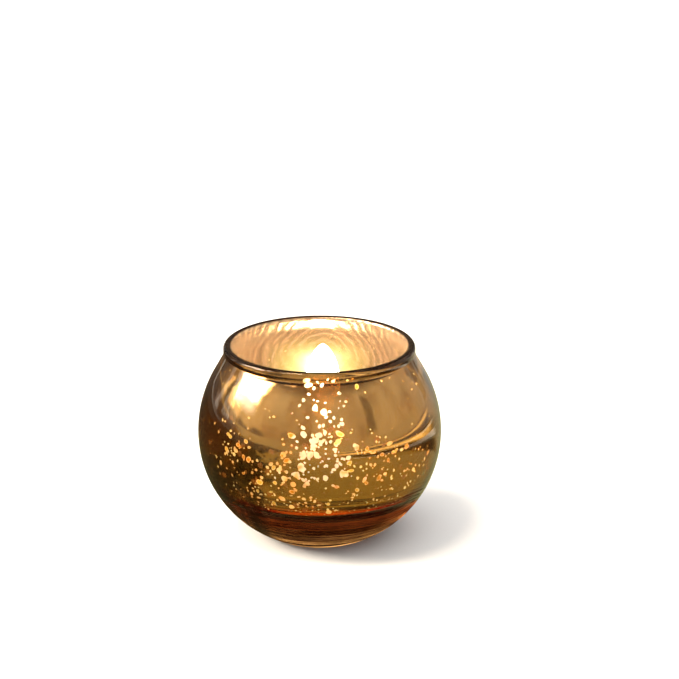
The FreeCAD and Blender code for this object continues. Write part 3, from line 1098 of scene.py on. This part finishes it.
def flame_body(name, foot_z, tip_z, half_width, lean):
    """Teardrop with a round crown, leaning a little with the wick."""
    span = tip_z - foot_z
    section = [(0.0, foot_z)]
    for k in range(1, 48):
        share = 0.5 - 0.5 * math.cos(math.pi * k / 48)
        width = half_width * math.sin(math.pi * share ** 1.35) ** 0.62 * (0.55 + 0.45 * min(share * 1.8, 1.0))
        section.append((width, foot_z + span * share))
    section.append((0.0, tip_z))
    piece = turned(name, section, 48, sharp_deg=180)
    for v in piece.data.vertices:
        share = (v.co.z / MM - foot_z) / span
        v.co.x += lean * min(share * 3, 1.0) * MM
    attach(piece, "candle")
    return piece


def make_flame():
    lean = wick_path()[-1][0].x * 0.8
    flame_body("candle_flame", FLAME_FOOT_Z, FLAME_TIP_Z, 5.6, lean).data.materials.append(flame_material())
    section = joined(
        line_points((0, HALO_FOOT_Z), (HALO_R - HALO_ROUND, HALO_FOOT_Z), 4.0),
        arc_points((HALO_R - HALO_ROUND, HALO_FOOT_Z + HALO_ROUND), HALO_ROUND, -math.pi / 2, 0, 1.0),
        arc_points((HALO_R - HALO_ROUND, HALO_TOP_Z - HALO_ROUND), HALO_ROUND, 0, math.pi / 2, 1.0),
        line_points((HALO_R - HALO_ROUND, HALO_TOP_Z), (0, HALO_TOP_Z), 4.0),
    )
    halo = turned("flame_halo", section, 64, sharp_deg=180)
    halo.data.materials.append(halo_material())
    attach(halo, "candle")


make_glass()
make_film()
make_cup()
make_wax()
make_wick()
make_flame()
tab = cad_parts["wick_sustainer"]
tab.data.materials.clear()
tab.data.materials.append(steel_material())


# ---- floor, light and camera -----------------------------------------------------------------------
def make_floor():
    size = 4.0
    mesh = bpy.data.meshes.new("studio_floor")
    corners = [(-size, -size, 0), (size, -size, 0), (size, size, 0), (-size, size, 0)]
    mesh.from_pydata(corners, [], [(0, 1, 2, 3)])
    floor = shown("studio_floor", mesh)
    floor.data.materials.append(floor_material())


# The studio as the globe mirrors it: azimuth and elevation of each panel's middle, half widths, softness,
# all in degrees, and how many times brighter or darker than the walls it is.
PANELS = [
    (-178.0, 35.0, 11.0, 10.0, 10.0, 26.0),
    (-170.0, 28.0, 16.0, 14.0, 18.0, 1.45),
    (175.0, 8.0, 5.0, 13.0, 3.0, 1.8),
    (-148.0, 64.0, 14.0, 7.0, 7.0, 40.0),
    (165.0, 13.0, 4.0, 9.0, 2.5, 3.0),
    (156.0, 12.0, 1.6, 9.0, 2.0, 0.35),
    (149.0, 10.0, 2.0, 8.0, 2.0, 2.8),
    (-37.0, 20.0, 2.4, 15.0, 4.0, 0.5),
    (132.0, 8.0, 8.0, 12.0, 6.0, 0.35),
    (-176.0, -2.0, 30.0, 3.0, 3.0, 0.35),
    (-100.0, 3.0, 26.0, 3.0, 3.0, 0.7),
    (42.0, 10.0, 4.0, 10.0, 3.0, 0.45),
    (90.0, 24.0, 34.0, 24.0, 8.0, 0.2),
]


def make_world():
    """Bright overhead light. What only the globe mirrors, low down, is a warm room with a window."""
    world = bpy.data.worlds.new("studio")
    bpy.context.scene.world = world
    world.use_nodes = True
    tree = world.node_tree
    tree.nodes.clear()
    output = tree.nodes.new("ShaderNodeOutputWorld")
    direction = node(tree, "TexCoord").outputs["Generated"]
    straight = maths(tree, "DEGREES", maths(tree, "ARCSINE", split(tree, direction)["Z"]))
    wander = minus(tree, pattern(tree, direction, 5.0, 4.0, 0.6), 0.5)
    elevation = maths(tree, "MULTIPLY_ADD", wander, 11.0, straight)
    level = ramp(tree, maths(tree, "DIVIDE", straight, 90.0), [
        (0.40, grey(0.92)), (0.54, grey(0.32)), (0.66, grey(0.32)), (0.76, grey(1.1)), (0.9, grey(0.5))])
    overhead = remapped(tree, straight, 38.0, 55.0, 0.92, 1.75, smooth=True)
    for azimuth, middle, half_deg, half_rise, soft, gain in PANELS:
        across = maths(tree, "MULTIPLY_ADD", wander, 14.0, azimuth_from(tree, direction, azimuth))
        inside = times(tree, window(tree, across, 0.0, half_deg, soft),
                       window(tree, elevation, middle, half_rise, soft))
        level = times(tree, level, maths(tree, "MULTIPLY_ADD", inside, gain - 1.0, 1.0))
    room = pattern(tree, scaled(tree, direction, (1.0, 1.0, 0.6)), 2.6, 4.0, 0.55, 0.4)
    walls = ramp(tree, room, [
        (0.36, (0.74, 0.58, 0.42)), (0.5, (0.98, 0.86, 0.70)), (0.64, (1.12, 1.02, 0.86))])
    path = node(tree, "LightPath")
    plain = node(tree, "Background", {"Color": (1.0, 0.985, 0.96, 1), "Strength": overhead})
    mirrored = node(tree, "Background", {"Color": walls, "Strength": level})
    backdrop = node(tree, "Background", {"Color": (0.97, 0.97, 0.97, 1), "Strength": 1.0})
    lit = blended(tree, path.outputs["Is Diffuse Ray"], mirrored, plain)
    mix = blended(tree, path.outputs["Is Camera Ray"], lit, backdrop)
    tree.links.new(mix.outputs[0], output.inputs[0])


CAMERA_DISTANCE = 0.700            # metres from the object's middle
CAMERA_TILT = math.radians(20.5)
LENS = 112.454                     # millimetres, on a sensor 36 mm wide
AIM_RIGHT = 0.009477               # how far to the right of the object's middle it aims, and how far above,
AIM_ABOVE = 0.045356               # as shares of the distance


def make_camera():
    """Long lens from a little above, aimed so that the object sits low and left of the middle."""
    middle = Vector((0, 0, HEIGHT * MM / 2))
    away = Vector((0, -math.cos(CAMERA_TILT), math.sin(CAMERA_TILT)))
    right = Vector((1, 0, 0))
    look = (-away + right * AIM_RIGHT + right.cross(-away) * AIM_ABOVE).normalized()
    side = look.cross(Vector((0, 0, 1))).normalized()
    data = bpy.data.cameras.new("camera")
    data.sensor_width = 36.0
    data.lens = LENS
    camera = bpy.data.objects.new("camera", data)
    bpy.context.scene.collection.objects.link(camera)
    turn = Matrix((side, side.cross(look), -look)).transposed().to_4x4()
    camera.matrix_world = Matrix.Translation(middle + away * CAMERA_DISTANCE) @ turn
    bpy.context.scene.camera = camera


make_floor()
make_world()
make_camera()
bpy.context.scene.view_settings.view_transform = "Standard"
